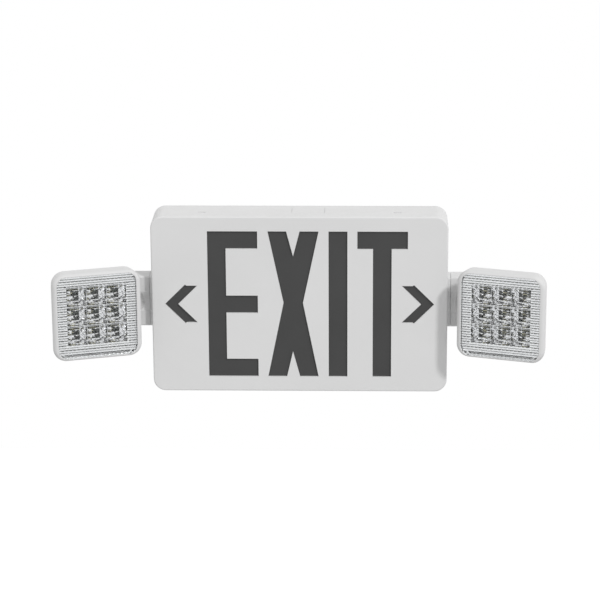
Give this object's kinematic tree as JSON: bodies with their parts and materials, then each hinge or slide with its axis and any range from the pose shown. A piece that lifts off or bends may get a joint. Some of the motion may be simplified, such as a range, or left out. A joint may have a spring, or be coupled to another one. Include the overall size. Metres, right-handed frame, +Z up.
{
  "type": "emergency exit light",
  "caption": "Wall-mounted exit sign with cut-out letters and arrows, and a square lamp head on a swivel arm at each side.",
  "frame": {"origin": "centre of the cable entry at the wall face of the back plate", "axes": "+X to the right seen from the room, +Y into the wall, +Z up"},
  "size_m": [0.4888, 0.097, 0.183],
  "materials": {
    "housing": "satin moulded white thermoplastic",
    "head_housing": "satin moulded white thermoplastic",
    "legend": "dark legend filter, matt",
    "diffuser": "opal diffuser",
    "tray": "white moulded inner parts",
    "circuit_board": "green board",
    "led": "phosphor and clear encapsulant",
    "steel": "zinc-plated",
    "transformer": "varnished laminations",
    "component": "black moulded component",
    "battery": "shrink sleeve",
    "button": "grey push button",
    "charge_lamp": "green light pipe",
    "lens": "clear fluted polycarbonate",
    "reflector": "vacuum-metallised silver"
  },
  "bodies": {
    "housing": {"back_plate": "housing", "battery_pack": "battery", "battery_strap": "tray", "board_connectors": "tray", "board_screws": "steel", "bottom_led_strip": "circuit_board", "canopy_blank": "housing", "capacitors": "component", "charge_lamp": "charge_lamp", "charge_led": "led", "control_board": "circuit_board", "diffuser_panel": "diffuser", "front_cover": "housing", "left_collar": "housing", "legend_panel": "legend", "light_tray": "tray", "main_board": "circuit_board", "relay": "component", "right_collar": "housing", "strip_leds": "led", "terminal_block": "component", "test_switch": "component", "top_led_strip": "circuit_board", "transformer": "transformer"},
    "button": {"test_button": "button"},
    "right_swivel": {"right_arm": "head_housing", "right_swivel_nut": "steel", "right_swivel_washer": "steel", "right_yaw_pin": "steel"},
    "right_lamp": {"right_head_bezel": "head_housing", "right_head_lens": "lens", "right_head_reflector": "reflector", "right_head_shell": "head_housing", "right_lamp_board": "circuit_board", "right_lamp_leds": "led", "right_lamp_screws": "steel"},
    "left_swivel": {"left_arm": "head_housing", "left_swivel_nut": "steel", "left_swivel_washer": "steel", "left_yaw_pin": "steel"},
    "left_lamp": {"left_head_bezel": "head_housing", "left_head_lens": "lens", "left_head_reflector": "reflector", "left_head_shell": "head_housing", "left_lamp_board": "circuit_board", "left_lamp_leds": "led", "left_lamp_screws": "steel"}
  },
  "joints": [
    {"name": "right_arm_tilt", "type": "hinge", "parent": "housing", "child": "right_swivel", "pos_m": [0.1515, -0.022, 0], "axis": [1, 0, 0], "range_deg": [-50, 50]},
    {"name": "right_head_turn", "type": "hinge", "parent": "right_swivel", "child": "right_lamp", "pos_m": [0.2185, -0.022, 0], "axis": [0, 0, 1], "range_deg": [-10, 75]},
    {"name": "left_arm_tilt", "type": "hinge", "parent": "housing", "child": "left_swivel", "pos_m": [-0.1515, -0.022, 0], "axis": [1, 0, 0], "range_deg": [-50, 50]},
    {"name": "left_head_turn", "type": "hinge", "parent": "left_swivel", "child": "left_lamp", "pos_m": [-0.2185, -0.022, 0], "axis": [0, 0, -1], "range_deg": [-10, 75]},
    {"name": "button_press", "type": "slide", "parent": "housing", "child": "button", "axis": [0, 0, 1], "range_m": [0, 0.0015], "stiffness_N_per_m": 400, "springref_m": -0.002}
  ]
}
